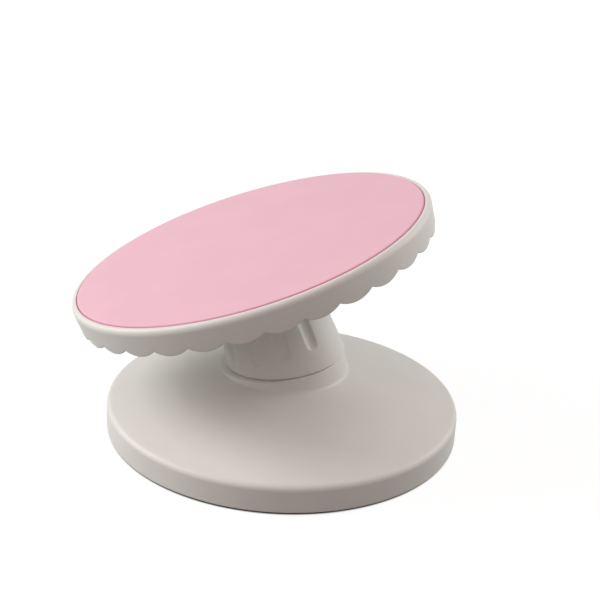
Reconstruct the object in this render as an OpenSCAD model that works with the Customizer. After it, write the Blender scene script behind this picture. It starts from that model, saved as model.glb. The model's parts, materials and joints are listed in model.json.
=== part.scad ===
// Tilting cake turntable: a scalloped round platform with a non-slip mat, on a fluted neck that
// twists on a slanted seam to set the tilt, over a low domed base.
// Frame: +Z up, origin at the centre of the face that stands on the table. The platform is drawn
// at full tilt, leaning towards -X. Half a turn of the neck brings it level.

/* [Tilt] */
// Lean of the platform at full tilt, in degrees
full_tilt = 19; // [12:0.5:22]
// From the swivel centre to the top of the mat, along the platform's axis
platform_rise = 79.4; // [72:0.1:110]

/* [Platform] */
// Outer diameter of the platform at its rim
platform_d = 230.4; // [180:0.2:290]
// Width of the rim round the mat
rim_w = 3.6; // [2.6:0.1:6]
// Radius of the rim's rounded outer edge
rim_edge_r = 2.4; // [0.5:0.1:2.4]
// Thickness of the plate under the mat
plate_t = 3; // [2:0.1:5]
// Height of the skirt, from the rim's top to the scallops' tips
skirt_h = 17.4; // [13:0.1:22]
// Wall of the skirt
skirt_t = 2.4; // [1.6:0.1:3]
// How far the skirt leans in at its lower edge
skirt_lean = 1.6; // [0.4:0.1:4]
// Number of scallops round the skirt
scallop_n = 32; // [20:1:48]
// Depth of the scallops
scallop_h = 3.4; // [1.5:0.1:4.5]
// Width of the flat at a scallop's tip
scallop_flat = 2.4; // [1.6:0.1:4]
// Turn of the first scallop from the platform's low side, in degrees
scallop_turn = 1.9; // [0:0.1:9]
// Number of gussets under the plate
gusset_n = 8; // [4:1:12]
// Reach of the gussets, from the hub outwards
gusset_len = 40; // [20:1:55]
// Thickness of a gusset
gusset_t = 1.8; // [1:0.1:3]

/* [Mat] */
// Thickness of the mat
mat_t = 2.4; // [1.5:0.1:4]
// Height of the mat over the rim
mat_proud = 1; // [0.2:0.1:1.4]
// Gap between the mat and the rim
mat_gap = 0.5; // [0.1:0.1:1.5]
// Radius of the mat's upper edge
mat_edge_r = 1.6; // [0.1:0.1:2]

/* [Neck] */
// Diameter of the neck at the swivel centre
neck_d = 74.8; // [62:0.2:96]
// Wall of the neck
neck_t = 3.2; // [2.6:0.1:4]
// Thickness of the neck's floor
neck_floor_t = 4; // [3:0.1:6]
// Number of flutes in a group, with one group in front and one behind
flute_n = 4; // [2:1:5]
// Angle from one flute of a group to the next, in degrees
flute_step = 30; // [24:1:34]
// Turn of the groups from the front and the back, in degrees
flute_turn = -4; // [-15:1:15]
// Radius of a flute's section
flute_r = 6; // [3:0.1:7]
// Depth of a flute
flute_h = 1.5; // [0.6:0.1:1.8]
// Height of the flutes' lower tips above the swivel centre
flute_z = 10.5; // [8:0.5:30]
// Thickness of the plate that closes the neck
head_t = 4; // [3:0.1:6]
// Free width on that plate, between the bearing and the neck's wall
head_land = 8; // [7:0.1:12]
// Number of screws that hold that plate
head_screw_n = 3; // [3:1:6]

/* [Base] */
// Outer diameter of the base
base_d = 225; // [185:1:275]
// Height of the base's side wall, from the table
base_side_h = 18.2; // [15:0.1:24]
// Radius of the side wall's rounded top edge
base_edge_r = 4; // [1:0.1:5]
// Rise of the dome, from the side wall to the collar
dome_rise = 23.5; // [19:0.1:30]
// Height of the swivel centre above the dome's end at the collar
collar_h = 6.8; // [5.4:0.1:10]
// Width of the ledge of the collar round the neck
collar_ledge = 1.4; // [1.2:0.1:4]
// How much wider the collar is at its foot than at the swivel centre
collar_flare = 1.8; // [0:0.1:3]
// Radius of the fillet between the dome and the collar
collar_fillet_r = 2.5; // [2:0.1:8]
// Wall of the base
base_t = 2.6; // [2:0.1:4]
// Thickness of the collar's slanted top
collar_top_t = 6; // [5:0.1:8]
// Number of ribs, and of cover screws, inside the base
base_rib_n = 6; // [4:1:8]
// Thickness of a rib
base_rib_t = 2; // [1.2:0.1:3]
// Thickness of the bottom cover
cover_t = 2.6; // [2:0.1:4]

/* [Grip ring] */
// Height of the ring's foot below the cover
grip_h = 1.5; // [0.8:0.1:3]
// Depth of the ring's groove in the cover
grip_seat = 1; // [0.5:0.1:1.4]
// Width of the ring
grip_w = 10; // [5:0.5:14]
// From the base's outside to the ring
grip_inset = 8; // [6:0.5:14]

/* [Swivel] */
// Diameter of the neck's spigot
spigot_d = 22; // [18:0.2:24]
// Wall of the bush round the spigot
bush_t = 2; // [1.2:0.1:3]
// Length of the boss that holds the bush, below the seam
swivel_boss_len = 16; // [12:0.5:18]
// Wall of that boss
swivel_boss_t = 5; // [3:0.1:6]
// Width of the bush's flange
flange_w = 3; // [2:0.1:4]
// Thickness of the bush's flange
flange_t = 2; // [1:0.1:3]
// Depth of the slip ring's seat in the collar
slip_seat = 1.5; // [0.8:0.1:2]
// From the neck's outside to the stop's slot
stop_inset = 4; // [3.6:0.1:6]
// Width of the stop's slot
stop_w = 3.6; // [2.5:0.1:4.5]
// Depth of the stop's slot
stop_h = 3.2; // [2:0.1:3.6]
// Angle that the stop's lug takes up, in degrees
stop_lug = 12; // [8:1:20]
// Twist of the neck between its two stops, in degrees
twist = 180; // [90:5:180]
// Wire of the swivel spring
spring_wire = 1.8; // [1.2:0.1:2.2]
// Length of the swivel spring as fitted
spring_len = 12; // [10:0.5:14]
// Turns of the swivel spring
spring_turns = 4; // [3:1:4]
// Diameter of the swivel screw
swivel_screw_d = 6; // [4:0.5:8]

/* [Bearing] */
// Diameter of the balls
ball_d = 5; // [4:0.1:6]
// Number of balls
ball_n = 12; // [8:1:12]
// Diameter of the circle of balls
ball_circle_d = 29; // [28:0.5:36]
// Width of a race
race_w = 7; // [6:0.1:8]
// Thickness of a race
race_t = 2; // [1.5:0.1:3]
// Depth of a race's groove
race_groove = 0.7; // [0.4:0.05:1]
// Height of the hub that seats the upper race, below the plate
hub_h = 3; // [2:0.1:5]
// Diameter of the spindle
spindle_d = 8; // [6:0.2:9]
// Length of the spindle's seat in the neck's head
spindle_seat = 14; // [8:0.5:20]
// Wall of the bush in the hub
hub_bush_t = 2.5; // [1.5:0.1:3]
// Wall of the hub's sleeve round that bush
hub_sleeve_t = 2.5; // [1.5:0.1:3]
// Depth of the hub's well, under the mat
hub_well = 4.2; // [4:0.1:5]

/* [Fits] */
// Radial clearance of a running fit
run_gap = 0.05; // [0.02:0.01:0.1]
// Radial clearance of a pressed or screwed seat
seat_gap = 0.02; // [0.01:0.01:0.05]
// Clearance round a loose piece
loose_gap = 0.3; // [0.2:0.05:0.6]
// Gap of the seam between the neck and the collar
seam_gap = 0.5; // [0.3:0.1:1]

/* [Hidden] */
$fn = 96;

// Colours
white_plastic = "#ece8e2";
pink_silicone = "#efbfcc";
dark_rubber = "#3c3c3e";
pale_acetal = "#f4f1e6";
steel = "#b9bcc0";

// Cutters reach this far past the faces that they cut
past = 1;
// Steps of a rounded corner in an outline
corner_steps = 8;

// Tilt
half_tilt = full_tilt / 2;
swivel_z = base_side_h + dome_rise + collar_h;

// Levels along the platform's axis, from the swivel centre
rim_z = platform_rise - mat_proud;
plate_z = platform_rise - mat_t;
under_z = plate_z - plate_t;
hub_z = under_z - hub_h;
race_space = ball_d - 2 * race_groove;
ball_z = hub_z - race_t - race_space / 2;
head_z = hub_z - 2 * race_t - race_space;
well_z = plate_z - hub_well;
sleeve_z = head_z + loose_gap;

// Platform and mat
platform_r = platform_d / 2;
recess_r = platform_r - rim_w;
mat_r = recess_r - mat_gap;
mat_side_h = 0.4;
skirt_z = rim_z - skirt_h;
skirt_foot_r = platform_r - skirt_lean;
scallop_pitch = 2 * skirt_foot_r * sin(180 / scallop_n);
notch_w = scallop_pitch - scallop_flat;
scallop_centre = (pow(scallop_pitch, 2) - pow(scallop_flat, 2) + 4 * pow(scallop_h, 2)) / (8 * scallop_h);
scallop_r = norm([scallop_centre, scallop_flat / 2]);

// Bearing and hub
ball_circle_r = ball_circle_d / 2;
race_in_r = ball_circle_r - race_w / 2;
race_out_r = ball_circle_r + race_w / 2;
race_lip = 2;
race_seat_r = race_out_r + race_lip;
cage_gap = 0.6;
cage_t = race_space - 2 * cage_gap;
spindle_r = spindle_d / 2;
hub_bush_r = spindle_r + run_gap + hub_bush_t;
sleeve_r = hub_bush_r + hub_sleeve_t;
hub_play = 0.1;
spindle_top_z = well_z + hub_play;
hub_washer_t = 1;
hub_washer_r = sleeve_r - hub_sleeve_t / 2;
hub_screw_r = spindle_r / 2;
hub_screw_head_r = 3.8;
hub_screw_head_h = 2;
hub_screw_len = 10;

// Neck
neck_r = neck_d / 2;
mouth_r = race_out_r + head_land;
neck_top_r = mouth_r + neck_t;
neck_taper = atan((neck_r - neck_top_r) / head_z);
head_boss_t = 4;
head_boss_r = spindle_r + head_boss_t;
head_screw_circle_r = race_out_r + head_land / 2;
head_screw_turn = 60;
head_screw_r = 1.5;
head_screw_head_r = 2.9;
head_screw_head_h = 1.9;
head_screw_len = 14;
head_pillar_r = 3.4;
head_pillar_len = 18;
head_pillar_web = 3;

// Base
base_r = base_d / 2;
collar_r = neck_r + collar_ledge;
dome_z = base_side_h + dome_rise;
dome_slope = atan(dome_rise / (base_r - collar_r - collar_flare));
collar_lean = atan(collar_flare / collar_h);
collar_limit = swivel_z + collar_r / 2;
inner_edge_r = 0.6;
cover_z = grip_h;
cover_top = cover_z + cover_t;
cover_r = base_r - base_t - loose_gap;
grip_out_r = base_r - grip_inset;
grip_in_r = grip_out_r - grip_w;
grip_edge_r = 0.5;
cover_screw_r = 1.5;
cover_screw_head_r = 3;
cover_screw_head_h = 1.6;
cover_screw_len = 12;
cover_boss_r = 4;
cover_screw_circle_r = grip_in_r - 2 * cover_boss_r;
cross_w = 0.9;
cross_len = 3.2;
cross_h = 1;
base_rib_foot = 4;
base_rib_z = cover_top + base_rib_foot;

// Swivel, along the normal of the seam
spigot_r = spigot_d / 2;
bush_in_r = spigot_r + run_gap;
bush_out_r = bush_in_r + bush_t;
swivel_boss_r = bush_out_r + seat_gap + swivel_boss_t;
base_rib_inset = 8;
base_rib_in_r = swivel_boss_r + base_rib_inset;
flange_z = -swivel_boss_len - flange_t;
spigot_z = flange_z - spring_len;
stop_out_r = neck_r - stop_inset;
stop_in_r = stop_out_r - stop_w;
stop_end_gap = 1;
slip_in_land = 4;
slip_in_r = bush_out_r + slip_in_land;
slip_out_land = 2;
slip_out_r = stop_in_r - slip_out_land;
slip_t = slip_seat + seam_gap - run_gap;
spring_r = spigot_r + loose_gap + spring_wire / 2;
spring_rise = spring_len - spring_wire - loose_gap;
spring_sides = 6;
spring_rings = 20;
swivel_washer_t = 2;
swivel_washer_r = bush_out_r + flange_w / 2;
swivel_shank_r = swivel_screw_d / 2;
swivel_head_r = swivel_screw_d;
swivel_head_h = 4;
swivel_screw_len = 16;

function unit(v) = v / norm(v);

// Points of the corner b between a and c, rounded to radius r
function rounded(a, b, c, r) =
    let (
        to_a = unit(a - b),
        to_c = unit(c - b),
        half = acos(to_a * to_c) / 2,
        centre = b + unit(to_a + to_c) * r / sin(half),
        first = b + to_a * r / tan(half) - centre,
        last = b + to_c * r / tan(half) - centre,
        from = atan2(first[1], first[0]),
        turn = atan2(first[0] * last[1] - first[1] * last[0], first * last)
    )
    [for (i = [0 : corner_steps]) centre + r * [cos(from + turn * i / corner_steps),
                                               sin(from + turn * i / corner_steps)]];

// Radius of the neck at height z on its axis
function neck_radius(z) = neck_r - z * tan(neck_taper);

// Radius of the collar at height z over the table
function collar_radius(z) = collar_r - (z - swivel_z) * tan(collar_lean);

// Origin at the swivel centre, Z along the normal of the seam
module at_swivel() {
    translate([0, 0, swivel_z]) rotate([0, -half_tilt, 0]) children();
}

// Origin at the swivel centre, Z along the platform's axis
module at_platform() {
    translate([0, 0, swivel_z]) rotate([0, -full_tilt, 0]) children();
}

// Copies of the children round the axis
module around(n, turn = 0) {
    for (i = [0 : n - 1]) rotate([0, 0, turn + i * 360 / n]) children();
}

module ring(r_in, r_out, h) {
    difference() {
        cylinder(r = r_out, h = h);
        translate([0, 0, -past]) cylinder(r = r_in, h = h + 2 * past);
    }
}

// Sector of a ring, from angle a0 to a1
module ring_sector(r_in, r_out, h, a0, a1) {
    rotate([0, 0, a0]) rotate_extrude(angle = a1 - a0) translate([r_in, 0]) square([r_out - r_in, h]);
}

// All that lies above the seam by h, drawn in the platform's frame
module above_seam(h) {
    rotate([0, half_tilt, 0]) translate([0, 0, h]) cylinder(r = platform_r, h = platform_rise * 2);
}

// Solid of the base inside a wall of thickness w, down to height z
module base_solid(w, z) {
    dome_w = w / cos(dome_slope);
    collar_w = w / cos(collar_lean);
    edge_z = base_side_h + w * tan(dome_slope) - dome_w;
    foot_z = dome_z - (dome_w - collar_w * tan(dome_slope)) / (1 - tan(dome_slope) * tan(collar_lean));
    side = [base_r - w, z];
    edge = [base_r - w, edge_z];
    foot = [collar_radius(foot_z) - collar_w, foot_z];
    top = [collar_radius(collar_limit) - collar_w, collar_limit];
    edge_r = max(base_edge_r - w, inner_edge_r);
    outline = concat(
        [[0, z], side],
        rounded(side, edge, foot, edge_r),
        rounded(edge, foot, top, collar_fillet_r + w),
        [top, [0, collar_limit]]
    );
    rotate_extrude() polygon(outline);
}

// Ribs and screw bosses inside the base, before they are trimmed to it
module base_stiffeners() {
    around(base_rib_n, 180 / base_rib_n)
        translate([base_rib_in_r, -base_rib_t / 2, base_rib_z])
            cube([base_r - base_rib_in_r, base_rib_t, collar_limit]);
    around(base_rib_n)
        translate([cover_screw_circle_r, 0, cover_top]) cylinder(r = cover_boss_r, h = collar_limit);
}

module base_shell() {
    color(white_plastic) difference() {
        union() {
            difference() {
                base_solid(0, cover_z);
                difference() {
                    base_solid(base_t, cover_z - past);
                    at_swivel() translate([0, 0, -collar_top_t]) cylinder(r = base_r, h = collar_limit);
                }
            }
            intersection() {
                base_solid(base_t / 2, cover_z);
                base_stiffeners();
            }
            at_swivel() translate([0, 0, -swivel_boss_len]) cylinder(r = swivel_boss_r, h = swivel_boss_len);
        }
        at_swivel() {
            cylinder(r = collar_r * 2, h = collar_limit);
            translate([0, 0, -slip_seat])
                ring(slip_in_r - seat_gap, slip_out_r + seat_gap, slip_seat + past);
            translate([0, 0, -stop_h]) ring_sector(stop_in_r, stop_out_r, stop_h + past,
                -stop_lug / 2 - stop_end_gap, twist + stop_lug / 2 + stop_end_gap);
            translate([0, 0, -swivel_boss_len - past])
                cylinder(r = bush_out_r + seat_gap, h = swivel_boss_len + 2 * past);
        }
        around(base_rib_n) translate([cover_screw_circle_r, 0, cover_z - past])
            cylinder(r = cover_screw_r + seat_gap, h = cover_screw_len + 2 * past);
    }
}

module base_cover() {
    color(white_plastic) difference() {
        translate([0, 0, cover_z]) cylinder(r = cover_r, h = cover_t);
        translate([0, 0, cover_z - past])
            ring(grip_in_r - seat_gap, grip_out_r + seat_gap, grip_seat + past);
        around(base_rib_n) translate([cover_screw_circle_r, 0, cover_z]) {
            translate([0, 0, -past]) cylinder(r = cover_screw_r + loose_gap, h = cover_t + 2 * past);
            cylinder(r1 = cover_screw_head_r + seat_gap, r2 = cover_screw_r + seat_gap,
                h = cover_screw_head_h);
        }
    }
}

module cover_screws() {
    color(steel) around(base_rib_n) translate([cover_screw_circle_r, 0, cover_z]) difference() {
        union() {
            cylinder(r1 = cover_screw_head_r, r2 = cover_screw_r, h = cover_screw_head_h);
            cylinder(r = cover_screw_r, h = cover_screw_len);
        }
        for (turn = [0, 90]) rotate([0, 0, turn])
            translate([-cross_len / 2, -cross_w / 2, -past]) cube([cross_len, cross_w, cross_h + past]);
    }
}

module grip_ring() {
    inner_foot = [grip_in_r, 0];
    outer_foot = [grip_out_r, 0];
    outer_top = [grip_out_r, grip_h + grip_seat];
    inner_top = [grip_in_r, grip_h + grip_seat];
    outline = concat(
        rounded(inner_top, inner_foot, outer_foot, grip_edge_r),
        rounded(inner_foot, outer_foot, outer_top, grip_edge_r),
        [outer_top, inner_top]
    );
    color(dark_rubber) rotate_extrude() polygon(outline);
}

module slip_ring() {
    color(pale_acetal) at_swivel() translate([0, 0, -slip_seat]) ring(slip_in_r, slip_out_r, slip_t);
}

module swivel_bush() {
    color(pale_acetal) at_swivel() {
        translate([0, 0, flange_z]) ring(bush_in_r, bush_out_r + flange_w, flange_t);
        translate([0, 0, flange_z]) ring(bush_in_r, bush_out_r, -flange_z - slip_seat);
    }
}

// One flute, as the solid that it cuts away
module flute() {
    start_z = flute_z + flute_r * sqrt(2 * flute_h / flute_r);
    translate([neck_radius(start_z) + (flute_r - flute_h) / cos(neck_taper), 0, start_z])
        rotate([0, -neck_taper, 0]) {
            sphere(r = flute_r);
            cylinder(r = flute_r, h = platform_rise);
        }
}

module flutes() {
    for (side = [-90, 90]) for (i = [0 : flute_n - 1])
        rotate([0, 0, side + flute_turn + (i - (flute_n - 1) / 2) * flute_step]) flute();
}

// Cone of the neck, inside a wall of thickness w
module neck_cone(w) {
    low_z = -neck_r / 2;
    translate([0, 0, low_z])
        cylinder(r1 = neck_radius(low_z) - w, r2 = neck_radius(head_z) - w, h = head_z - low_z);
}

// Pillars inside the neck that carry its head, each with a web to the wall
module head_pillars() {
    intersection() {
        neck_cone(neck_t - flute_h);
        around(head_screw_n, head_screw_turn)
            translate([head_screw_circle_r, 0, head_z - head_t - head_pillar_len]) {
                cylinder(r = head_pillar_r, h = head_pillar_len);
                translate([0, -head_pillar_web / 2, 0]) cube([neck_r, head_pillar_web, head_pillar_len]);
            }
    }
}

module neck() {
    color(white_plastic) difference() {
        union() {
            at_platform() {
                difference() {
                    intersection() {
                        neck_cone(0);
                        above_seam(seam_gap);
                    }
                    intersection() {
                        neck_cone(neck_t);
                        above_seam(seam_gap + neck_floor_t);
                    }
                    translate([0, 0, head_z - head_t]) cylinder(r = mouth_r, h = head_t + past);
                    flutes();
                }
                head_pillars();
            }
            at_swivel() {
                translate([0, 0, spigot_z]) cylinder(r = spigot_r, h = seam_gap + neck_floor_t - spigot_z);
                translate([0, 0, -stop_h + loose_gap]) ring_sector(stop_in_r + loose_gap,
                    stop_out_r - loose_gap, stop_h + seam_gap, -stop_lug / 2, stop_lug / 2);
            }
        }
        at_swivel() translate([0, 0, spigot_z - past])
            cylinder(r = swivel_shank_r + seat_gap, h = swivel_screw_len + 2 * past);
        at_platform() around(head_screw_n, head_screw_turn)
            translate([head_screw_circle_r, 0, head_z - head_screw_len - past])
                cylinder(r = head_screw_r + seat_gap, h = head_screw_len + 2 * past);
    }
}

module neck_head() {
    color(white_plastic) at_platform() difference() {
        union() {
            translate([0, 0, head_z - head_t]) cylinder(r = mouth_r - loose_gap, h = head_t);
            translate([0, 0, head_z - spindle_seat]) cylinder(r = head_boss_r, h = spindle_seat);
        }
        translate([0, 0, head_z - spindle_seat - past])
            cylinder(r = spindle_r + seat_gap, h = spindle_seat + 2 * past);
        around(head_screw_n, head_screw_turn) translate([head_screw_circle_r, 0, head_z - head_t - past])
            cylinder(r = head_screw_r + loose_gap, h = head_t + 2 * past);
    }
}

module head_screws() {
    color(steel) at_platform() around(head_screw_n, head_screw_turn)
        translate([head_screw_circle_r, 0, head_z]) {
            cylinder(r = head_screw_head_r, h = head_screw_head_h);
            translate([0, 0, -head_screw_len]) cylinder(r = head_screw_r, h = head_screw_len);
        }
}

module spindle() {
    color(steel) at_platform() difference() {
        translate([0, 0, head_z - spindle_seat])
            cylinder(r = spindle_r, h = spindle_top_z - head_z + spindle_seat);
        translate([0, 0, spindle_top_z - hub_screw_len - past])
            cylinder(r = hub_screw_r + seat_gap, h = hub_screw_len + 2 * past);
    }
}

// A race with its face at z and its groove on the circle of balls
module race(z) {
    difference() {
        translate([0, 0, z]) ring(race_in_r, race_out_r, race_t);
        translate([0, 0, ball_z]) rotate_extrude()
            translate([ball_circle_r, 0]) circle(r = ball_d / 2 + run_gap);
    }
}

module lower_race() {
    color(steel) at_platform() race(head_z);
}

module upper_race() {
    color(steel) at_platform() race(hub_z - race_t);
}

module bearing_balls() {
    color(steel) at_platform() around(ball_n) translate([ball_circle_r, 0, ball_z]) sphere(r = ball_d / 2);
}

module bearing_cage() {
    color(pale_acetal) at_platform() translate([0, 0, ball_z - cage_t / 2]) difference() {
        ring(race_in_r - loose_gap, race_out_r + loose_gap, cage_t);
        around(ball_n) translate([ball_circle_r, 0, -past])
            cylinder(r = ball_d / 2 + 2 * run_gap, h = cage_t + 2 * past);
    }
}

module hub_washer() {
    color(steel) at_platform() translate([0, 0, spindle_top_z])
        ring(hub_screw_r + seat_gap, hub_washer_r, hub_washer_t);
}

module hub_screw() {
    color(steel) at_platform() translate([0, 0, spindle_top_z]) {
        translate([0, 0, hub_washer_t]) cylinder(r = hub_screw_head_r, h = hub_screw_head_h);
        translate([0, 0, -hub_screw_len]) cylinder(r = hub_screw_r, h = hub_screw_len + hub_washer_t);
    }
}

// Point j of ring i of the spring's wire, down from the bush's flange
function spring_point(i, j) =
    let (
        along = i / (spring_rings * spring_turns),
        turn = 360 * spring_turns * along,
        side = 360 * j / spring_sides,
        r = spring_r + cos(side) * spring_wire / 2,
        top = flange_z - loose_gap / 2 - spring_wire / 2
    )
    [r * cos(turn), r * sin(turn), top - along * spring_rise + sin(side) * spring_wire / 2];

module swivel_spring() {
    last = spring_rings * spring_turns;
    points = [for (i = [0 : last]) for (j = [0 : spring_sides - 1]) spring_point(i, j)];
    sides = [for (i = [0 : last - 1]) for (j = [0 : spring_sides - 1])
        let (
            a = i * spring_sides + j,
            b = i * spring_sides + (j + 1) % spring_sides
        )
        each [[a, a + spring_sides, b], [b, a + spring_sides, b + spring_sides]]];
    ends = [for (j = [1 : spring_sides - 2])
        each [[0, j, j + 1],
              [last * spring_sides, last * spring_sides + j + 1, last * spring_sides + j]]];
    echo(spring_gap = spring_rise / spring_turns - spring_wire);
    color(steel) at_swivel() polyhedron(points, concat(sides, ends));
}

module swivel_washer() {
    color(steel) at_swivel() translate([0, 0, spigot_z - swivel_washer_t])
        ring(swivel_shank_r + seat_gap, swivel_washer_r, swivel_washer_t);
}

module swivel_screw() {
    color(steel) at_swivel() translate([0, 0, spigot_z - swivel_washer_t]) {
        translate([0, 0, -swivel_head_h]) cylinder(r = swivel_head_r, h = swivel_head_h, $fn = 6);
        cylinder(r = swivel_shank_r, h = swivel_screw_len);
    }
}

// Section of the platform's plate, rim and skirt
function platform_outline() =
    let (
        recess_foot = [recess_r, plate_z],
        recess_top = [recess_r, rim_z],
        rim = [platform_r, rim_z],
        skirt_out = [skirt_foot_r, skirt_z],
        skirt_in = [skirt_foot_r - skirt_t, skirt_z],
        under = [platform_r - skirt_t - (rim_z - under_z) * skirt_lean / skirt_h, under_z]
    )
    concat(
        [[0, under_z], [0, plate_z], recess_foot, recess_top],
        rounded(recess_top, rim, skirt_out, rim_edge_r),
        [skirt_out, skirt_in, under]
    );

// The notch between two scallops, as the solid that it cuts away
module scallop_notch() {
    inside_r = skirt_foot_r - 2 * skirt_t;
    // wider than the notch, so that only the lobes' arcs end it at the skirt's foot
    cut_w = notch_w + scallop_flat / 4;
    translate([inside_r, 0, skirt_z]) rotate([90, 0, 90])
        linear_extrude(height = platform_r + past - inside_r) difference() {
            translate([-cut_w / 2, -past]) square([cut_w, scallop_h + 2 * past]);
            for (side = [-1, 1])
                translate([side * scallop_pitch / 2, scallop_centre]) circle(r = scallop_r);
        }
}

// A gusset between the hub and the plate
module gusset() {
    start = race_seat_r - gusset_t / 2;
    rotate([90, 0, 0]) linear_extrude(height = gusset_t, center = true)
        polygon([[start, hub_z], [start, under_z + plate_t / 2],
                 [race_seat_r + gusset_len, under_z + plate_t / 2], [race_seat_r + gusset_len, under_z]]);
}

module platform() {
    color(white_plastic) at_platform() difference() {
        union() {
            difference() {
                rotate_extrude() polygon(platform_outline());
                around(scallop_n, 180 + scallop_turn + 180 / scallop_n) scallop_notch();
            }
            translate([0, 0, hub_z]) cylinder(r = race_seat_r, h = plate_z - hub_z);
            translate([0, 0, sleeve_z]) cylinder(r = sleeve_r, h = plate_z - sleeve_z);
            around(gusset_n) gusset();
        }
        translate([0, 0, sleeve_z - past]) cylinder(r = hub_bush_r + seat_gap, h = plate_z - sleeve_z);
        translate([0, 0, well_z]) cylinder(r = sleeve_r, h = hub_well + past);
    }
}

module hub_bush() {
    color(pale_acetal) at_platform() translate([0, 0, sleeve_z])
        ring(spindle_r + run_gap, hub_bush_r, well_z - sleeve_z);
}

module top_mat() {
    foot = [mat_r, plate_z];
    edge = [mat_r, platform_rise];
    middle = [0, platform_rise];
    edge_r = min(mat_edge_r, mat_t - mat_side_h);
    outline = concat([[0, plate_z], foot], rounded(foot, edge, middle, edge_r), [middle]);
    color(pink_silicone) at_platform() rotate_extrude() polygon(outline);
}

base_shell();
base_cover();
cover_screws();
grip_ring();
slip_ring();
swivel_bush();
neck();
neck_head();
head_screws();
spindle();
lower_race();
hub_washer();
hub_screw();
swivel_spring();
swivel_washer();
swivel_screw();
bearing_cage();
bearing_balls();
platform();
hub_bush();
upper_race();
top_mat();
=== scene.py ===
import bpy
import json
import math
from mathutils import Matrix, Vector
from mathutils.kdtree import KDTree


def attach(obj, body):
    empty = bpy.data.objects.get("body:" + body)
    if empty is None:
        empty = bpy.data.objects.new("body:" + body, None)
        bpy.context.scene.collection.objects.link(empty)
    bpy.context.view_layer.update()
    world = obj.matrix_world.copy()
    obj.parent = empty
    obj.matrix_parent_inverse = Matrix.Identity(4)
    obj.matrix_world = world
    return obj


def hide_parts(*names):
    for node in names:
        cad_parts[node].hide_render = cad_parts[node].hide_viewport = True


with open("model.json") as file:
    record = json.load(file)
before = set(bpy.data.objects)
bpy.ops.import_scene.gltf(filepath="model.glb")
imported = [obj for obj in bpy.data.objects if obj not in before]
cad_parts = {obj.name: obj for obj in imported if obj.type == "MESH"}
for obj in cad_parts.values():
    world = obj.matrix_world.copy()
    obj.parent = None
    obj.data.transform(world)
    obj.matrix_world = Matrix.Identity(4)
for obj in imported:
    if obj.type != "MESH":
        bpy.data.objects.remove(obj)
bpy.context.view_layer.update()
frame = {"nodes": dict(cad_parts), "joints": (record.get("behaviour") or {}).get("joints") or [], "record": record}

mm = 0.001  # sizes below are in millimetres
weld = 2e-6  # points nearer than this, in metres, become one
fullTurn = 2 * math.pi

# the three directions that every piece is set to
joints = {joint["name"]: joint for joint in frame["joints"]}
swivelCentre = Vector(joints["neck_twist"]["pos_m"])
seamNormal = Vector(joints["neck_twist"]["axis"]).normalized()
platformAxis = Vector(joints["platform_spin"]["axis"]).normalized()
seamLean = math.atan2(-seamNormal.x, seamNormal.z)
platformLean = math.atan2(-platformAxis.x, platformAxis.z)
onTable = Matrix.Identity(4)
onSeam = Matrix.Translation(swivelCentre) @ Matrix.Rotation(-seamLean, 4, "Y")
onPlatform = Matrix.Translation(swivelCentre) @ Matrix.Rotation(-platformLean, 4, "Y")
print("frame loaded, lean", round(math.degrees(platformLean), 2), "degrees")


# modelling helpers

def pickOnly(*pieces):
    bpy.ops.object.select_all(action="DESELECT")
    for piece in pieces:
        piece.select_set(True)
    bpy.context.view_layer.objects.active = pieces[0]


def roundCorner(before, corner, after, radius, steps=6):
    corner = Vector(corner)
    toBefore = (Vector(before) - corner).normalized()
    toAfter = (Vector(after) - corner).normalized()
    half = toBefore.angle(toAfter) / 2
    centre = corner + (toBefore + toAfter).normalized() * radius / math.sin(half)
    first = corner + toBefore * radius / math.tan(half) - centre
    last = corner + toAfter * radius / math.tan(half) - centre
    start = math.atan2(first.y, first.x)
    sweep = math.atan2(first.x * last.y - first.y * last.x, first.dot(last))
    turns = [start + sweep * i / steps for i in range(steps + 1)]
    return [(centre.x + radius * math.cos(t), centre.y + radius * math.sin(t)) for t in turns]


def softCorner(start, corner, end, steps=10):
    # a quarter of an ellipse from start to end, drawn towards the corner
    points = []
    for i in range(steps + 1):
        t = math.pi / 2 * i / steps
        points.append(tuple(c + (a - c) * (1 - math.sin(t)) + (b - c) * (1 - math.cos(t))
                            for a, c, b in zip(start, corner, end)))
    return points


def softOutline(corners):
    # corners are (radius, height, rounding); the outline closes on itself
    outline = []
    for i, (r, z, rounding) in enumerate(corners):
        before = corners[i - 1][:2]
        after = corners[(i + 1) % len(corners)][:2]
        if rounding:
            outline += roundCorner(before, (r, z), after, rounding)
        else:
            outline.append((r, z))
    return outline


def drawOutline(name, outline):
    # a single point, pulled along the outline point by point; stays in edit mode
    bpy.ops.object.select_all(action="DESELECT")
    bpy.ops.mesh.primitive_plane_add(size=mm)
    piece = bpy.context.object
    piece.name = name
    piece.data.name = name
    bpy.ops.object.mode_set(mode="EDIT")
    bpy.ops.mesh.select_all(action="SELECT")
    bpy.ops.mesh.merge(type="CENTER")
    bpy.ops.transform.translate(value=(outline[0][0] * mm, 0, outline[0][1] * mm))
    for (r0, z0), (r1, z1) in zip(outline, outline[1:]):
        step = ((r1 - r0) * mm, 0, (z1 - z0) * mm)
        bpy.ops.mesh.extrude_vertices_move(TRANSFORM_OT_translate={"value": step})
    return piece


def turnOutline(name, outline, columns, closed=True):
    piece = drawOutline(name, outline + outline[:1] if closed else outline)
    bpy.ops.mesh.select_all(action="SELECT")
    bpy.ops.mesh.remove_doubles(threshold=weld)
    bpy.ops.mesh.select_all(action="SELECT")
    bpy.ops.mesh.spin(steps=columns, angle=fullTurn, center=(0, 0, 0), axis=(0, 0, 1))
    bpy.ops.mesh.select_all(action="SELECT")
    bpy.ops.mesh.remove_doubles(threshold=weld)
    bpy.ops.mesh.normals_make_consistent(inside=False)
    bpy.ops.object.mode_set(mode="OBJECT")
    return piece


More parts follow.
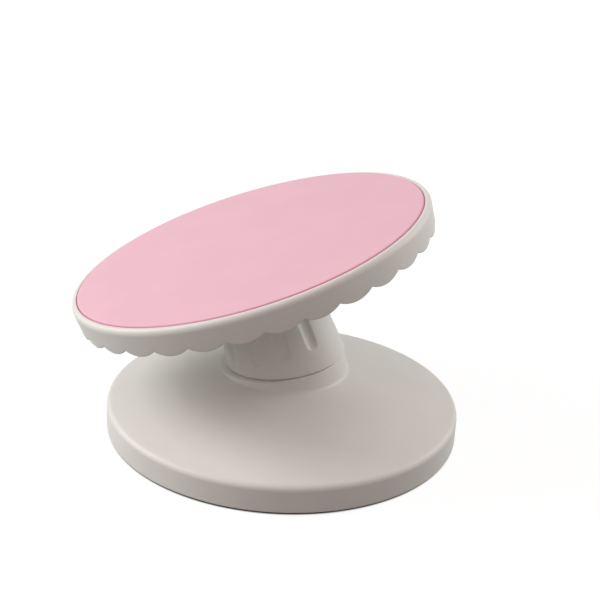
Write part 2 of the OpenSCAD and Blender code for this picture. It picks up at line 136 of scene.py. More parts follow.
def repeatRound(count):
    # copies of what is picked in edit mode, evenly round the upright axis
    turns = count - 1
    bpy.ops.mesh.spin(steps=turns, dupli=True, angle=fullTurn * turns / count,
                      center=(0, 0, 0), axis=(0, 0, 1))


def reshape(piece, move):
    # move takes and gives radius, turn and height in millimetres
    for vertex in piece.data.vertices:
        x, y, z = vertex.co / mm
        r, turn, z = move(math.hypot(x, y), math.atan2(y, x), z)
        vertex.co = (r * math.cos(turn) * mm, r * math.sin(turn) * mm, z * mm)
    piece.data.update()


def setInPlace(piece, place, smoothAngle=32):
    pickOnly(piece)
    piece.matrix_world = place
    bpy.ops.object.transform_apply(location=True, rotation=True, scale=True)
    bpy.ops.object.shade_smooth_by_angle(angle=math.radians(smoothAngle))


def joinTo(piece, *others):
    pickOnly(piece, *others)
    bpy.ops.object.join()


def hand(piece, body, slot, *nodes):
    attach(piece, body)
    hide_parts(*nodes)
    return piece


# platform: plate, rim and scalloped skirt

platformSizes = {
    "rimRadius": 115.2, "rimTop": 78.4, "rimRoundWide": 2.8, "rimRoundDeep": 4.2, "rimInnerRound": 0.4,
    "recessRadius": 111.35, "recessFloor": 77.0,
    "skirtFoot": 61.0, "skirtLean": 1.6, "skirtWall": 2.4, "footRound": 0.7,
    "rowOverFoot": 0.6,  # a row just over the rounding keeps the skirt's shading even
    "plateUnder": 74.0, "cornerFillet": 1.5,
    "hubRadius": 20.0, "hubFoot": 71.0, "hubRound": 0.5,
    "sleeveRadius": 9.05, "sleeveFoot": 63.7, "boreRadius": 6.57, "wellFloor": 72.8,
    "scallops": 32, "scallopTurn": 1.9, "scallopDepth": 3.4, "scallopFlat": 2.4,
    "columnsInScallop": 24, "scallopZone": 0.2,
    "gussets": 8, "gussetReach": 60.0, "gussetWall": 1.8, "gussetRound": 0.35,
    "gussetIntoHub": 0.5, "gussetIntoPlate": 0.3, "gussetOverHubFoot": 0.2, "gussetTip": 0.4,
}


def makePlatform(s):
    skirtHeight = s["rimTop"] - s["skirtFoot"]
    leanRate = s["skirtLean"] / skirtHeight
    footRadius = s["rimRadius"] - s["skirtLean"]
    underRadius = s["rimRadius"] - s["skirtWall"] - (s["rimTop"] - s["plateUnder"]) * leanRate
    nearFoot = s["footRound"] + s["rowOverFoot"]
    rimDeep = s["rimRoundDeep"]
    rimStart = (s["rimRadius"] - s["rimRoundWide"], s["rimTop"])
    rimEnd = (s["rimRadius"] - rimDeep * leanRate, s["rimTop"] - rimDeep)
    rim = softCorner(rimStart, (s["rimRadius"], s["rimTop"]), rimEnd)
    corners = [
        (s["boreRadius"], s["sleeveFoot"], 0),
        (s["boreRadius"], s["wellFloor"], 0),
        (s["sleeveRadius"], s["wellFloor"], 0),
        (s["sleeveRadius"], s["recessFloor"], 0),
        (s["recessRadius"], s["recessFloor"], 0),
        (s["recessRadius"], s["rimTop"], s["rimInnerRound"]),
        *[(r, z, 0) for r, z in rim],
        (footRadius + nearFoot * leanRate, s["skirtFoot"] + nearFoot, 0),
        (footRadius, s["skirtFoot"], s["footRound"]),
        (footRadius - s["skirtWall"], s["skirtFoot"], s["footRound"]),
        (footRadius - s["skirtWall"] + nearFoot * leanRate, s["skirtFoot"] + nearFoot, 0),
        (underRadius, s["plateUnder"], s["cornerFillet"]),
        (s["hubRadius"], s["plateUnder"], s["hubRound"]),
        (s["hubRadius"], s["hubFoot"], s["hubRound"]),
        (s["sleeveRadius"], s["hubFoot"], 0),
        (s["sleeveRadius"], s["sleeveFoot"], s["hubRound"]),
    ]
    columns = s["scallops"] * s["columnsInScallop"]
    plate = turnOutline("scallopedPlatform", softOutline(corners), columns)

    # the lower edge is lifted between the lobes, up along the skirt's own slope
    lobeTurn = fullTurn / s["scallops"]
    pitch = 2 * footRadius * math.sin(lobeTurn / 2)
    flat = s["scallopFlat"]
    depth = s["scallopDepth"]
    arcCentre = (pitch ** 2 - flat ** 2 + 4 * depth ** 2) / (8 * depth)
    arcRadius = math.hypot(arcCentre, flat / 2)
    footZone = s["skirtFoot"] + nearFoot + s["scallopZone"]  # only the skirt reaches as low as this

    def scallop(r, turn, z):
        if z > footZone:
            return r, turn, z
        off = math.remainder(turn - math.radians(s["scallopTurn"]), lobeTurn)
        across = min(abs(off) / lobeTurn, 0.5) * pitch
        lift = max(arcCentre - math.sqrt(arcRadius ** 2 - across ** 2), 0)
        return r + lift * leanRate, turn, z + lift

    reshape(plate, scallop)

    # gussets under the plate, one drawn and the rest turned round the hub
    root = s["hubRadius"] - s["gussetIntoHub"]
    sunk = s["plateUnder"] + s["gussetIntoPlate"]
    web = drawOutline("gussets", [
        (root, s["hubFoot"] + s["gussetOverHubFoot"]),
        (s["gussetReach"], s["plateUnder"] - s["gussetTip"]),
        (s["gussetReach"], sunk),
        (root, sunk),
    ])
    wall = s["gussetWall"] * mm
    bpy.ops.mesh.select_all(action="SELECT")
    bpy.ops.mesh.edge_face_add()
    bpy.ops.transform.translate(value=(0, -wall / 2, 0))
    bpy.ops.mesh.extrude_region_move(TRANSFORM_OT_translate={"value": (0, wall, 0)})
    bpy.ops.mesh.select_all(action="SELECT")
    bpy.ops.mesh.bevel(offset=s["gussetRound"] * mm, segments=2, affect="EDGES")
    bpy.ops.mesh.select_all(action="SELECT")
    bpy.ops.mesh.remove_doubles(threshold=weld)
    bpy.ops.mesh.normals_make_consistent(inside=False)
    repeatRound(s["gussets"])
    bpy.ops.object.mode_set(mode="OBJECT")
    joinTo(plate, web)
    setInPlace(plate, onPlatform)
    return hand(plate, "platform", "white_plastic", "platform")


platformPiece = makePlatform(platformSizes)
print("platform", len(platformPiece.data.polygons), "faces")


# mat: a soft disc in the platform's recess, a little proud of the rim

matSizes = {
    "radius": 111.1, "under": 77.02, "top": 79.15, "edgeRound": 1.6, "edgeSteps": 8, "columns": 512,
    "rowByEdge": 0.6, "middleRow": 0.6,  # the first in millimetres, the second a share of the radius
    "paintedShadeWidth": 1.0,  # width of the painted shade that darkens the mat's rounded side
}


def makeMat(s):
    top = s["top"]
    corners = [(0, s["under"]), (s["radius"], s["under"])]
    edge = roundCorner(corners[1], (s["radius"], top), (0, top), s["edgeRound"], s["edgeSteps"])
    inner = [
        (s["radius"] - s["edgeRound"] - s["rowByEdge"], top),
        (s["radius"] * s["middleRow"], top),
        (0, top),
    ]
    mat = turnOutline("pinkMat", corners + edge + inner, s["columns"], closed=False)
    setInPlace(mat, onPlatform)
    return hand(mat, "platform", "pink_silicone", "top_mat")


matPiece = makeMat(matSizes)
print("mat", len(matPiece.data.polygons), "faces")


# neck: a tapered shell with flutes, cut off along the seam

neckSizes = {
    "radius": 37.4, "topRadius": 29.2, "top": 63.4, "wall": 3.2, "mouthRadius": 26.0, "mouthDepth": 4.0,
    "seamGap": 0.5, "footRound": 0.5, "topRound": 0.6,
    "columns": 480, "rowStep": 0.8, "rowMargin": 1.5, "innerRows": 20,
    "slantFrom": 4.0, "slantTo": 44.0,  # the rows turn level between these heights over the foot
    "flutes": 4, "fluteStep": 30.0, "fluteTurn": -4.0, "fluteRadius": 6.0, "fluteDepth": 1.5,
    "fluteStart": 14.74, "fluteSoft": 0.28, "fluteTrim": 0.01, "mouthMargin": 1.0,
    "floorRadius": 35.2, "floorTop": 4.5, "floorLift": 0.02,
    "spigotRadius": 11.0, "spigotFoot": -30.0, "spigotColumns": 96,
    "screwRadius": 3.02, "screwDepth": 17.0,
}


def makeNeck(s):
    taper = math.atan((s["radius"] - s["topRadius"]) / s["top"])
    taperRate = math.tan(taper)

    def radiusAt(z):
        return s["radius"] - z * taperRate

    top = s["top"]
    mouth = s["mouthRadius"]
    foot = s["seamGap"] / math.cos(seamLean)
    seat = top - s["mouthDepth"]
    wallHeight = top - foot - 2 * s["rowMargin"]
    rows = int(wallHeight / s["rowStep"])
    heights = [foot + s["rowMargin"] + wallHeight * i / rows for i in range(rows + 1)]
    outer = [(radiusAt(z), z) for z in heights]
    innerTop = (radiusAt(seat) - s["wall"], seat)
    innerFoot = (radiusAt(foot) - s["wall"], foot)
    outline = roundCorner(innerFoot, (radiusAt(foot), foot), outer[0], s["footRound"])
    outline += outer
    outline += roundCorner(outer[-1], (s["topRadius"], top), (mouth, top), s["topRound"])
    outline += [(mouth, top), (mouth, seat), innerTop]
    for i in range(1, s["innerRows"] + 1):
        share = i / s["innerRows"]
        outline.append(tuple(a + (b - a) * share for a, b in zip(innerTop, innerFoot)))
    neck = turnOutline("flutedNeck", outline, s["columns"])

    # lean is the angle between the neck's own axis and the seam's normal
    lean = platformLean - seamLean
    slantFrom = foot + s["slantFrom"]
    slantTo = foot + s["slantTo"]
    frontTurn = math.radians(s["fluteTurn"] - 90)
    fluteStep = math.radians(s["fluteStep"])
    fluteEnd = (s["flutes"] - 1) / 2
    fluteCore = s["fluteRadius"] - s["fluteDepth"]

    def shapeNeck(r, turn, z):
        generator = r + z * taperRate
        slope = math.sin(lean) * math.cos(turn)
        seam = (s["seamGap"] - slope * generator) / (math.cos(lean) - slope * taperRate)
        share = min(max((slantTo - z) / (slantTo - slantFrom), 0), 1)
        share = share * share * (3 - 2 * share)
        z += share * (seam - foot)
        r = generator - z * taperRate
        if generator < s["radius"] - s["wall"] / 2 or r < mouth + s["mouthMargin"]:
            return r, turn, z
        # a flute is a round groove with a round lower end and soft edges,
        # and the flutes stand in two groups, in front and behind
        off = math.remainder(turn - frontTurn, math.pi)
        nearest = round(off / fluteStep + fluteEnd) - fluteEnd
        off -= min(max(nearest, -fluteEnd), fluteEnd) * fluteStep
        below = max(s["fluteStart"] - z, 0) / math.cos(taper)
        away = min(math.hypot(r * math.sin(off), below), s["fluteRadius"])
        cut = math.sqrt(s["fluteRadius"] ** 2 - away ** 2) - fluteCore
        cut = (cut + math.sqrt(cut ** 2 + s["fluteSoft"] ** 2)) / 2
        cut = max(cut - s["fluteTrim"], 0)
        return r - cut * math.cos(taper), turn, z - cut * math.sin(taper)

    reshape(neck, shapeNeck)
    setInPlace(neck, onPlatform)

    # floor and spigot, square to the seam
    under = s["seamGap"] + s["floorLift"]
    screwTop = s["spigotFoot"] + s["screwDepth"]
    spigot = turnOutline("spigot", [
        (s["screwRadius"], s["spigotFoot"]),
        (s["spigotRadius"], s["spigotFoot"]),
        (s["spigotRadius"], under),
        (s["floorRadius"], under),
        (s["floorRadius"], s["floorTop"]),
        (0, s["floorTop"]),
        (0, screwTop),
        (s["screwRadius"], screwTop),
    ], s["spigotColumns"])
    setInPlace(spigot, onSeam)
    joinTo(neck, spigot)
    return hand(neck, "neck", "white_plastic", "neck")


neckPiece = makeNeck(neckSizes)
print("neck", len(neckPiece.data.polygons), "faces")


# base: a low domed shell whose collar is cut off along the seam

baseSizes = {
    "radius": 112.5, "foot": 1.5, "footRound": 0.5, "sideTop": 18.2, "edgeRound": 4.0, "wall": 2.6,
    "rowOverFoot": 1.2, "rowUnderEdge": 3.2, "rowOnDome": 4.0,  # rows beside the two roundings
    "domeTop": 41.7, "slantFrom": 64.0, "innerFrom": 54.0, "columns": 400,
    "collarFootRadius": 40.6, "collarRadius": 38.8, "collarFillet": 2.5, "filletSteps": 40,
    "collarThick": 6.0, "collarRows": 46, "collarReach": 30.0, "seamHalvings": 40,
    "collarLip": 0.7, "lipSteps": 5,
    "holeRadius": 28.0, "ceilingRadius": 36.2,
    "ceilingStep": 0.8, "ceilingDrop": 0.2, "ceilingToDome": 1.0, "rowMatch": 0.02,
    "bushRadius": 13.07, "bossRadius": 18.07, "bossFoot": -16.0, "bossDrop": 0.2, "bossColumns": 120,
    "slipIn": 17.03, "slipOut": 28.6, "slipSeat": -1.52,
    "posts": 6, "postCircle": 86.5, "postRadius": 4.0, "postFoot": 4.1, "postSunk": 0.6, "postColumns": 40,
    "screwRadius": 1.52,
}


def makeBase(s):
    slope = (s["domeTop"] - s["sideTop"]) / (s["radius"] - s["collarFootRadius"])
    inset = s["wall"] * math.hypot(1, slope)

    def domeAt(r):
        return s["sideTop"] + (s["radius"] - r) * slope

    # the line over the dome, round the fillet and up the collar, measured along its length
    slantStart = (s["slantFrom"], domeAt(s["slantFrom"]))
    seamHeight = swivelCentre.z / mm
    flare = (s["collarFootRadius"] - s["collarRadius"]) / (seamHeight - s["domeTop"])
    collarFoot = (s["collarFootRadius"], s["domeTop"])
    tall = (collarFoot[0] - flare * s["collarReach"], collarFoot[1] + s["collarReach"])
    line = [slantStart]
    line += roundCorner(slantStart, collarFoot, tall, s["collarFillet"], s["filletSteps"])
    line.append(tall)
    lengths = [0]
    for (r0, z0), (r1, z1) in zip(line, line[1:]):
        lengths.append(lengths[-1] + math.hypot(r1 - r0, z1 - z0))

    def along(length):
        i = 1
        while lengths[i] < length and i < len(lengths) - 1:
            i += 1
        part = (length - lengths[i - 1]) / (lengths[i] - lengths[i - 1])
        return tuple(a + (b - a) * part for a, b in zip(line[i - 1], line[i]))

    seamRise = math.tan(seamLean)

    def seamAt(r, turn):
        return seamHeight + r * math.cos(turn) * seamRise

    def collarRows(turn):
        # rows of the dome's upper part and the collar for one direction, up to where the seam cuts
        low, high = 0, lengths[-1]
        for _ in range(s["seamHalvings"]):
            middle = (low + high) / 2
            r, z = along(middle)
            if z < seamAt(r, turn):
                low = middle
            else:
                high = middle
        lip = s["collarLip"]
        rows = [along((low - lip) * i / s["collarRows"]) for i in range(1, s["collarRows"] + 1)]
        lipStart = rows[-1]
        corner = along(low)
        lipEnd = (corner[0] - lip, seamAt(corner[0] - lip, turn))
        for i in range(1, s["lipSteps"] + 1):
            t = i / s["lipSteps"]
            rows.append(tuple((1 - t) ** 2 * a + 2 * t * (1 - t) * b + t * t * c
                              for a, b, c in zip(lipStart, corner, lipEnd)))
        thick = s["collarThick"] / math.cos(seamLean)
        holeTop = seamAt(s["holeRadius"], turn)
        ceiling = seamAt(s["ceilingRadius"], turn) - thick
        innerDome = domeAt(s["ceilingRadius"] + s["ceilingToDome"]) - inset
        rows.append((s["holeRadius"], holeTop))
        rows.append((s["holeRadius"], holeTop - thick))
        rows.append((s["ceilingRadius"], ceiling))
        rows.append((s["ceilingRadius"] + s["ceilingStep"], min(ceiling - s["ceilingDrop"], innerDome)))
        return rows

    slantedRows = collarRows(math.pi / 2)
    innerEdge = s["radius"] - s["wall"]
    domeRow = s["radius"] - s["rowOnDome"]
    side = [
        (innerEdge, s["foot"], s["footRound"]),
        (s["radius"], s["foot"], s["footRound"]),
        (s["radius"], s["foot"] + s["rowOverFoot"], 0),
        (s["radius"], s["sideTop"] - s["rowUnderEdge"], 0),
        (s["radius"], s["sideTop"], s["edgeRound"]),
        (domeRow, domeAt(domeRow), 0),
        (*slantStart, 0),
    ]
    inner = [
        (s["innerFrom"], domeAt(s["innerFrom"]) - inset),
        (innerEdge, domeAt(innerEdge) - inset),
        (innerEdge, s["foot"] + s["rowOverFoot"]),
    ]
    outline = softOutline(side + [(r, z, 0) for r, z in slantedRows + inner])
    base = turnOutline("domedBase", outline, s["columns"])

    # each row of the collar is set to the slant of the seam
    finder = KDTree(len(slantedRows))
    for i, (r, z) in enumerate(slantedRows):
        finder.insert((r, z, 0), i)
    finder.balance()
    rowsByColumn = {}

    def slantCollar(r, turn, z):
        found, row, far = finder.find((r, z, 0))
        if far > s["rowMatch"]:
            return r, turn, z
        column = round(turn * s["columns"] / fullTurn)
        if column not in rowsByColumn:
            rowsByColumn[column] = collarRows(turn)
        r, z = rowsByColumn[column][row]
        return r, turn, z

    reshape(base, slantCollar)
    setInPlace(base, onTable)

    # boss that carries the bush, square to the seam
    bossTop = -s["collarThick"] - s["bossDrop"]
    boss = turnOutline("swivelBoss", [
        (s["bushRadius"], s["bossFoot"]),
        (s["bossRadius"], s["bossFoot"]),
        (s["bossRadius"], bossTop),
        (s["slipOut"], bossTop),
        (s["slipOut"], s["slipSeat"]),
        (s["slipIn"], s["slipSeat"]),
        (s["slipIn"], 0),
        (s["bushRadius"], 0),
    ], s["bossColumns"])
    setInPlace(boss, onSeam)

    # posts for the cover's screws
    postTop = domeAt(s["postCircle"]) - inset + s["postSunk"]
    post = turnOutline("screwPosts", [
        (s["screwRadius"], s["postFoot"]),
        (s["postRadius"], s["postFoot"]),
        (s["postRadius"], postTop),
        (s["screwRadius"], postTop),
    ], s["postColumns"])
    bpy.ops.object.mode_set(mode="EDIT")
    bpy.ops.mesh.select_all(action="SELECT")
    bpy.ops.transform.translate(value=(s["postCircle"] * mm, 0, 0))
    repeatRound(s["posts"])
    bpy.ops.object.mode_set(mode="OBJECT")
    setInPlace(post, onTable)
    joinTo(base, boss, post)
    return hand(base, "base", "white_plastic", "base_shell")


basePiece = makeBase(baseSizes)
print("base", len(basePiece.data.polygons), "faces")


# finishes: shared groups first, then one material for each slot

surfaceLook = {
    "cloudDetail": 4, "cloudRough": 0.6, "cloudRange": (0.35, 0.65),
    "grainDetail": 3, "grainRough": 0.55, "grainRange": (0.3, 0.7),
    "lineDetail": 5, "lineRough": 0.65, "lineStretch": (0.15, 0.15, 6.0),
    "bumpStrength": 0.35,
}

colourKind = "NodeSocketColor"
numberKind = "NodeSocketFloat"
vectorKind = "NodeSocketVector"


def addNode(tree, kind, **values):
    # a value belongs to the node itself or else to the input of that name
    node = tree.nodes.new(kind)
    for name, value in values.items():
        if hasattr(node, name):
            setattr(node, name, value)
        else:
            node.inputs[name].default_value = value
    return node


def addRamp(tree, given, fromRange, toRange=(0, 1), kind="LINEAR"):
    ramp = addNode(tree, "ShaderNodeMapRange", interpolation_type=kind, **{
        "From Min": fromRange[0], "From Max": fromRange[1], "To Min": toRange[0], "To Max": toRange[1],
    })
    tree.links.new(given, ramp.inputs["Value"])
    return ramp


def addTint(tree, share, first, second):
    tint = addNode(tree, "ShaderNodeMix", data_type="RGBA")
    tree.links.new(share, tint.inputs["Factor"])
    tree.links.new(first, tint.inputs["A"])
    tree.links.new(second, tint.inputs["B"])
    return tint.outputs["Result"]


def newGroup(name, inputs, outputs):
    tree = bpy.data.node_groups.new(name, "ShaderNodeTree")
    for label, kind in inputs:
        tree.interface.new_socket(name=label, in_out="INPUT", socket_type=kind)
    for label, kind in outputs:
        tree.interface.new_socket(name=label, in_out="OUTPUT", socket_type=kind)
    return tree, tree.nodes.new("NodeGroupInput").outputs, tree.nodes.new("NodeGroupOutput").inputs


def makeMouldedGroup(look):
    # soft cloudy tone, uneven gloss and a fine moulded grain
    tree, given, out = newGroup("mouldedSurface", [
        ("Tone", colourKind), ("Shade", colourKind), ("Cloud Size", numberKind), ("Grain Size", numberKind),
        ("Gloss Low", numberKind), ("Gloss High", numberKind), ("Wave", numberKind),
    ], [("Color", colourKind), ("Roughness", numberKind), ("Height", numberKind)])
    link = tree.links.new
    spot = tree.nodes.new("ShaderNodeTexCoord").outputs["Object"]
    cloud = addNode(tree, "ShaderNodeTexNoise", Detail=look["cloudDetail"], Roughness=look["cloudRough"])
    link(spot, cloud.inputs["Vector"])
    link(given["Cloud Size"], cloud.inputs["Scale"])
    grain = addNode(tree, "ShaderNodeTexNoise", Detail=look["grainDetail"], Roughness=look["grainRough"])
    link(spot, grain.inputs["Vector"])
    link(given["Grain Size"], grain.inputs["Scale"])
    spread = addRamp(tree, cloud.outputs["Fac"], look["cloudRange"])
    gloss = addRamp(tree, grain.outputs["Fac"], look["grainRange"])
    link(given["Gloss Low"], gloss.inputs["To Min"])
    link(given["Gloss High"], gloss.inputs["To Max"])
    wave = addNode(tree, "ShaderNodeMath", operation="MULTIPLY_ADD")
    link(cloud.outputs["Fac"], wave.inputs[0])
    link(given["Wave"], wave.inputs[1])
    link(grain.outputs["Fac"], wave.inputs[2])
    link(addTint(tree, spread.outputs["Result"], given["Tone"], given["Shade"]), out["Color"])
    link(gloss.outputs["Result"], out["Roughness"])
    link(wave.outputs["Value"], out["Height"])
    return tree


def makeDrawnGroup(look):
    # drawn or turned metal: fine lines along one direction over a slightly uneven tone
    tree, given, out = newGroup("drawnMetal", [
        ("Tone", colourKind), ("Shade", colourKind), ("Line Size", numberKind),
        ("Gloss Low", numberKind), ("Gloss High", numberKind),
    ], [("Color", colourKind), ("Roughness", numberKind), ("Height", numberKind)])
    link = tree.links.new
    spot = tree.nodes.new("ShaderNodeTexCoord").outputs["Object"]
    stretch = addNode(tree, "ShaderNodeMapping", Scale=look["lineStretch"])
    link(spot, stretch.inputs["Vector"])
    lines = addNode(tree, "ShaderNodeTexNoise", Detail=look["lineDetail"], Roughness=look["lineRough"])
    link(stretch.outputs["Vector"], lines.inputs["Vector"])
    link(given["Line Size"], lines.inputs["Scale"])
    gloss = addRamp(tree, lines.outputs["Fac"], (0, 1))
    link(given["Gloss Low"], gloss.inputs["To Min"])
    link(given["Gloss High"], gloss.inputs["To Max"])
    link(addTint(tree, lines.outputs["Fac"], given["Tone"], given["Shade"]), out["Color"])
    link(gloss.outputs["Result"], out["Roughness"])
    link(lines.outputs["Fac"], out["Height"])
    return tree


def makePaintedEdgeShadeGroup():
    # painted shade: a darker colour at the edge of a disc, by the distance from its axis, standing in for the
    # shade on the mat's rounded side
    tree, given, out = newGroup("paintedEdgeShade", [
        ("Color", colourKind), ("Painted Shade", colourKind), ("Centre", vectorKind), ("Axis", vectorKind),
        ("Start", numberKind), ("End", numberKind),
    ], [("Color", colourKind)])
    link = tree.links.new
    spot = tree.nodes.new("ShaderNodeTexCoord").outputs["Object"]
    fromCentre = addNode(tree, "ShaderNodeVectorMath", operation="SUBTRACT")
    link(spot, fromCentre.inputs[0])
    link(given["Centre"], fromCentre.inputs[1])
    across = addNode(tree, "ShaderNodeVectorMath", operation="CROSS_PRODUCT")
    link(fromCentre.outputs["Vector"], across.inputs[0])
    link(given["Axis"], across.inputs[1])
    radius = addNode(tree, "ShaderNodeVectorMath", operation="LENGTH")
    link(across.outputs["Vector"], radius.inputs[0])
    side = addRamp(tree, radius.outputs["Value"], (0, 1), kind="SMOOTHSTEP")
    link(given["Start"], side.inputs["From Min"])
    link(given["End"], side.inputs["From Max"])
    link(addTint(tree, side.outputs["Result"], given["Color"], given["Painted Shade"]), out["Color"])
    return tree


moulded = makeMouldedGroup(surfaceLook)
drawn = makeDrawnGroup(surfaceLook)
paintedEdgeShade = makePaintedEdgeShadeGroup()


def useGroup(tree, group, values):
    node = tree.nodes.new("ShaderNodeGroup")
    node.node_tree = group
    for socket, value in values.items():
        node.inputs[socket].default_value = value
    return node


def makeFinish(name, group, values, bumpDepth, fixed, edgeShadeValues=None):
    material = bpy.data.materials.new(name)
    material.use_nodes = True
    tree = material.node_tree
    shader = tree.nodes["Principled BSDF"]
    for socket, value in fixed.items():
        shader.inputs[socket].default_value = value
    surface = useGroup(tree, group, values)
    bump = addNode(tree, "ShaderNodeBump", Strength=surfaceLook["bumpStrength"], Distance=bumpDepth * mm)
    tree.links.new(surface.outputs["Height"], bump.inputs["Height"])
    tree.links.new(bump.outputs["Normal"], shader.inputs["Normal"])
    colour = surface.outputs["Color"]
    # painted shade at the edge of a disc, where one is given
    if edgeShadeValues:
        edge = useGroup(tree, paintedEdgeShade, edgeShadeValues)
        tree.links.new(colour, edge.inputs["Color"])
        colour = edge.outputs["Color"]
    tree.links.new(colour, shader.inputs["Base Color"])
    tree.links.new(surface.outputs["Roughness"], shader.inputs["Roughness"])
    material.diffuse_color = values["Tone"]
    return material


# each finish: group and its values, depth of the bump, fixed values, and for the mat the painted shade at its edge
finishes = {
    "white_plastic": makeFinish("whitePlastic", moulded, {
        "Tone": (0.76, 0.755, 0.708, 1), "Shade": (0.738, 0.733, 0.687, 1),
        "Cloud Size": 28, "Grain Size": 2600, "Gloss Low": 0.45, "Gloss High": 0.56, "Wave": 1.5,
    }, 0.02, {"IOR": 1.49}),
    "pink_silicone": makeFinish("pinkSilicone", moulded, {
        "Tone": (0.839, 0.532, 0.617, 1), "Shade": (0.82, 0.516, 0.6, 1),
        "Cloud Size": 32, "Grain Size": 1700, "Gloss Low": 0.62, "Gloss High": 0.76, "Wave": 1.0,
    }, 0.05, {"IOR": 1.41}, {
        # painted shade: deeper pink on the mat's rounded side, where that side is in shade
        "Painted Shade": (0.60, 0.22, 0.33, 1), "Centre": swivelCentre, "Axis": platformAxis,
        "Start": (matSizes["radius"] - matSizes["paintedShadeWidth"]) * mm, "End": matSizes["radius"] * mm,
    }),
    "dark_rubber": makeFinish("darkRubber", moulded, {
        "Tone": (0.045, 0.045, 0.047, 1), "Shade": (0.06, 0.06, 0.062, 1),
        "Cloud Size": 120, "Grain Size": 1500, "Gloss Low": 0.65, "Gloss High": 0.85, "Wave": 0.5,
    }, 0.08, {"IOR": 1.5}),
    "acetal": makeFinish("acetal", moulded, {
        "Tone": (0.80, 0.78, 0.70, 1), "Shade": (0.77, 0.74, 0.66, 1),
        "Cloud Size": 80, "Grain Size": 2400, "Gloss Low": 0.30, "Gloss High": 0.42, "Wave": 0.5,
    }, 0.02, {"IOR": 1.48}),
    "steel": makeFinish("zincSteel", drawn, {
        "Tone": (0.58, 0.59, 0.61, 1), "Shade": (0.46, 0.46, 0.47, 1),
        "Line Size": 700, "Gloss Low": 0.24, "Gloss High": 0.42,
    }, 0.02, {"Metallic": 1.0}),
    "spring_steel": makeFinish("springSteel", drawn, {
        "Tone": (0.44, 0.45, 0.47, 1), "Shade": (0.33, 0.33, 0.34, 1),
        "Line Size": 900, "Gloss Low": 0.22, "Gloss High": 0.36,
    }, 0.02, {"Metallic": 1.0}),
    "bearing_steel": makeFinish("bearingSteel", drawn, {
        "Tone": (0.68, 0.69, 0.71, 1), "Shade": (0.62, 0.63, 0.65, 1),
        "Line Size": 1200, "Gloss Low": 0.10, "Gloss High": 0.18,
    }, 0.005, {"Metallic": 1.0}),
}


def paint(piece, slot):
    piece.data.materials.clear()
    piece.data.materials.append(finishes[slot])


slotOfNode = {part["node"]: part["material_slot"] for part in frame["record"]["subparts"]}
for nodeName, nodeObject in frame["nodes"].items():
    paint(nodeObject, slotOfNode[nodeName])
paint(platformPiece, "white_plastic")
paint(matPiece, "pink_silicone")
paint(neckPiece, "white_plastic")
paint(basePiece, "white_plastic")
print("finishes set on", len(frame["nodes"]), "nodes and 4 pieces")


# studio: white floor, soft lamps and the camera

studio = {
    # places in metres, from the middle of the base
    "floorSize": 9.0, "floorTone": 0.17, "floorWhite": 0.89,
    # the glow is cut out under the base's footprint, painted shade under the base
    "floorShadeUnderBase": (0.1105, 0.1125), "floorFar": (0.4, 1.1),
    "skyColour": (1.0, 0.836, 0.801, 1), "skyLevel": 0.18,
    "lamps": [
        # name, place, size, watts, colour
        ("frontPanel", (0.0, -1.3, 1.6), 2.6, 15.3, (1.0, 0.836, 0.801)),
        ("leftHighLamp", (-1.25, -0.2, 1.1), 0.8, 9.3, (1, 1, 1)),
        ("leftLamp", (-1.5, 0.1, 0.6), 0.9, 10.8, (1, 1, 1)),
        ("rightLamp", (1.25, 0.6, 0.75), 1.2, 12.5, (1, 1, 1)),
    ],
    "lampTarget": (0.0, 0.0, 0.08),
    # the camera's place, lens and sensor in millimetres, its angles in degrees
    "cameraPlace": (29.946, -749.200, 403.175),
    "cameraTurn": 1.69, "cameraPitch": 22.872, "cameraRoll": 3.1226,
    "cameraLens": 77.96, "cameraSensor": 36.0, "cameraNear": 10.0,
}


def seenDirectly(tree):
    # 1 for what the camera sees, also in a reflection or through something clear
    path = tree.nodes.new("ShaderNodeLightPath")
    seen = path.outputs["Is Camera Ray"]
    for ray in ("Is Glossy Ray", "Is Transmission Ray"):
        either = addNode(tree, "ShaderNodeMath", operation="MAXIMUM")
        tree.links.new(seen, either.inputs[0])
        tree.links.new(path.outputs[ray], either.inputs[1])
        seen = either.outputs["Value"]
    return seen


def makeFloor(s):
    bpy.ops.object.select_all(action="DESELECT")
    bpy.ops.mesh.primitive_plane_add(size=s["floorSize"])
    floor = bpy.context.object
    floor.name = "floor"
    material = bpy.data.materials.new("floorPaint")
    material.use_nodes = True
    tree = material.node_tree
    tree.nodes.clear()
    link = tree.links.new
    matt = addNode(tree, "ShaderNodeBsdfDiffuse", Color=(s["floorTone"],) * 3 + (1,))
    glow = addNode(tree, "ShaderNodeEmission", Color=(1, 1, 1, 1))

    # painted shade under the base: the glow stops under the base's footprint, which leaves only the floor's own
    # shadow there as a dark line; far away the glow is full white
    spot = tree.nodes.new("ShaderNodeTexCoord").outputs["Object"]
    distance = addNode(tree, "ShaderNodeVectorMath", operation="LENGTH")
    link(spot, distance.inputs[0])
    level = seenDirectly(tree)
    for fromRange, toRange in ((s["floorShadeUnderBase"], (0, 1)), (s["floorFar"], (s["floorWhite"], 1))):
        ramp = addRamp(tree, distance.outputs["Value"], fromRange, toRange, "SMOOTHSTEP")
        product = addNode(tree, "ShaderNodeMath", operation="MULTIPLY")
        link(level, product.inputs[0])
        link(ramp.outputs["Result"], product.inputs[1])
        level = product.outputs["Value"]
    link(level, glow.inputs["Strength"])
    both = tree.nodes.new("ShaderNodeAddShader")
    end = tree.nodes.new("ShaderNodeOutputMaterial")
    link(matt.outputs["BSDF"], both.inputs[0])
    link(glow.outputs["Emission"], both.inputs[1])
    link(both.outputs["Shader"], end.inputs["Surface"])
    floor.data.materials.append(material)


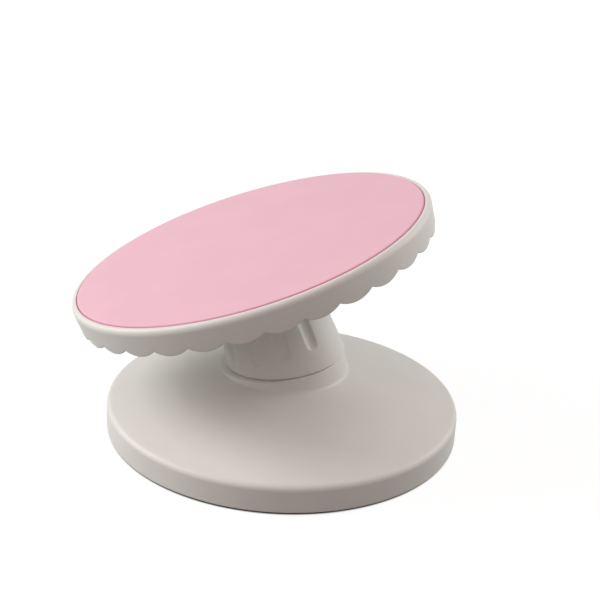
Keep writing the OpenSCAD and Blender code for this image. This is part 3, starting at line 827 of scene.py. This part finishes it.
def makeSky(s):
    world = bpy.data.worlds.new("studioWorld")
    bpy.context.scene.world = world
    world.use_nodes = True
    tree = world.node_tree
    tree.nodes.clear()
    sky = addNode(tree, "ShaderNodeBackground", Color=s["skyColour"], Strength=s["skyLevel"])
    white = addNode(tree, "ShaderNodeBackground", Color=(1, 1, 1, 1), Strength=1.0)
    pick = tree.nodes.new("ShaderNodeMixShader")
    end = tree.nodes.new("ShaderNodeOutputWorld")
    tree.links.new(seenDirectly(tree), pick.inputs["Fac"])
    tree.links.new(sky.outputs["Background"], pick.inputs[1])
    tree.links.new(white.outputs["Background"], pick.inputs[2])
    tree.links.new(pick.outputs["Shader"], end.inputs["Surface"])


def makeLamps(s):
    for name, place, size, watts, colour in s["lamps"]:
        bpy.ops.object.light_add(type="AREA", location=place)
        lamp = bpy.context.object
        lamp.name = name
        lamp.data.shape = "DISK"
        lamp.data.size = size
        lamp.data.energy = watts
        lamp.data.color = colour
        toTarget = Vector(s["lampTarget"]) - Vector(place)
        lamp.rotation_euler = toTarget.to_track_quat("-Z", "Y").to_euler()


def makeCamera(s):
    pitch = math.radians(s["cameraPitch"])
    roll = math.radians(s["cameraRoll"])
    turn = math.radians(s["cameraTurn"])
    right = Vector((math.cos(turn), math.sin(turn), 0))
    ahead = Vector((-math.sin(turn), math.cos(turn), 0))
    up = ahead * math.sin(pitch) + Vector((0, 0, math.cos(pitch)))
    cameraX = right * math.cos(roll) + up * math.sin(roll)
    cameraY = up * math.cos(roll) - right * math.sin(roll)
    turned = Matrix((cameraX, cameraY, cameraX.cross(cameraY))).transposed().to_4x4()
    bpy.ops.object.camera_add()
    camera = bpy.context.object
    camera.name = "photoCamera"
    camera.matrix_world = Matrix.Translation(Vector(s["cameraPlace"]) * mm) @ turned
    camera.data.sensor_width = s["cameraSensor"]
    camera.data.lens = s["cameraLens"]
    camera.data.clip_start = s["cameraNear"] * mm
    bpy.context.scene.camera = camera


makeFloor(studio)
makeSky(studio)
makeLamps(studio)
makeCamera(studio)
bpy.context.scene.view_settings.view_transform = "Standard"
print("studio ready")
